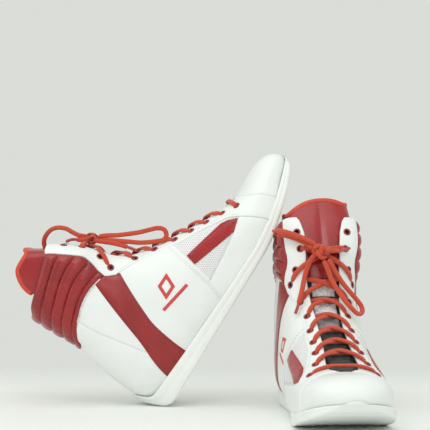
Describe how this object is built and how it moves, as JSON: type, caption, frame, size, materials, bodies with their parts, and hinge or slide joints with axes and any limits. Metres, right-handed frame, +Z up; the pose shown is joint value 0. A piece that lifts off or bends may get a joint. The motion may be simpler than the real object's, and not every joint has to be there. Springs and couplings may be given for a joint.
{
  "type": "boxing boots",
  "caption": "Pair of tall lace-up boxing boots with ribbed collars and side stripes, one standing, one leaning on it.",
  "frame": {"origin": "middle of the pair's footprint, on the floor", "axes": "+X along the row of the two boots, from the leaning boot to the standing one; +Y away from the standing boot's toe; +Z up"},
  "size_m": [0.3782, 0.3205, 0.2678],
  "materials": {
    "white": "smooth coated white leather",
    "red": "soft red leather with a slight sheen",
    "red_shiny": "glossy padded red leather",
    "lace": "woven orange-red lace",
    "mesh": "open white-grey mesh",
    "tongue": "dark spacer mesh",
    "lining": "brushed textile lining",
    "insole": "textile-topped foam",
    "foam": "closed-cell foam",
    "sole": "matt white rubber",
    "eyelet": "dark red lacquer"
  },
  "bodies": {
    "left_boot": {"left_outsole": "sole", "left_midsole": "foam", "left_insole": "insole", "left_lining": "lining", "left_toe_cap": "white", "left_heel_counter": "white", "left_collar": "red", "left_tongue": "tongue", "left_lace": "lace", "left_bow_loop_a": "lace", "left_bow_loop_b": "lace", "left_lace_tail_a": "lace", "left_lace_tail_b": "lace", "left_lateral_quarter": "white", "left_lateral_rear_quarter": "white", "left_lateral_ankle_stripe": "red", "left_lateral_mesh_panel": "mesh", "left_lateral_mudguard": "white", "left_lateral_front_stripe": "red_shiny", "left_lateral_eyestay": "white", "left_lateral_eyelets": "eyelet", "left_medial_quarter": "white", "left_medial_rear_quarter": "white", "left_medial_ankle_stripe": "red", "left_medial_mesh_panel": "mesh", "left_medial_mudguard": "white", "left_medial_front_stripe": "red_shiny", "left_medial_eyestay": "white", "left_medial_eyelets": "eyelet"},
    "left_flap": {"left_tongue_flap": "red"},
    "right_boot": {"right_outsole": "sole", "right_midsole": "foam", "right_insole": "insole", "right_lining": "lining", "right_toe_cap": "white", "right_heel_counter": "white", "right_collar": "red", "right_tongue": "tongue", "right_lace": "lace", "right_bow_loop_a": "lace", "right_bow_loop_b": "lace", "right_lace_tail_a": "lace", "right_lace_tail_b": "lace", "right_lateral_quarter": "white", "right_lateral_rear_quarter": "white", "right_lateral_ankle_stripe": "red", "right_lateral_mesh_panel": "mesh", "right_lateral_mudguard": "white", "right_lateral_front_stripe": "red_shiny", "right_lateral_eyestay": "white", "right_lateral_eyelets": "eyelet", "right_medial_quarter": "white", "right_medial_rear_quarter": "white", "right_medial_ankle_stripe": "red", "right_medial_mesh_panel": "mesh", "right_medial_mudguard": "white", "right_medial_front_stripe": "red_shiny", "right_medial_eyestay": "white", "right_medial_eyelets": "eyelet"},
    "right_flap": {"right_tongue_flap": "red"}
  },
  "joints": [
    {"name": "lift_off", "type": "slide", "parent": "left_boot", "child": "right_boot", "axis": [0, 0, 1], "range_m": [0, 0.3]},
    {"name": "left_flap_fold", "type": "hinge", "parent": "left_boot", "child": "left_flap", "pos_m": [0.1297, 0.057, 0.1995], "axis": [0.9956, 0.0941, 0], "range_deg": [0, 20], "stiffness_Nm_per_rad": 0.12},
    {"name": "right_flap_fold", "type": "hinge", "parent": "right_boot", "child": "right_flap", "pos_m": [-0.1592, 0.1011, 0.1668], "axis": [-0.0436, 0.999, 0], "range_deg": [0, 20], "stiffness_Nm_per_rad": 0.12}
  ]
}
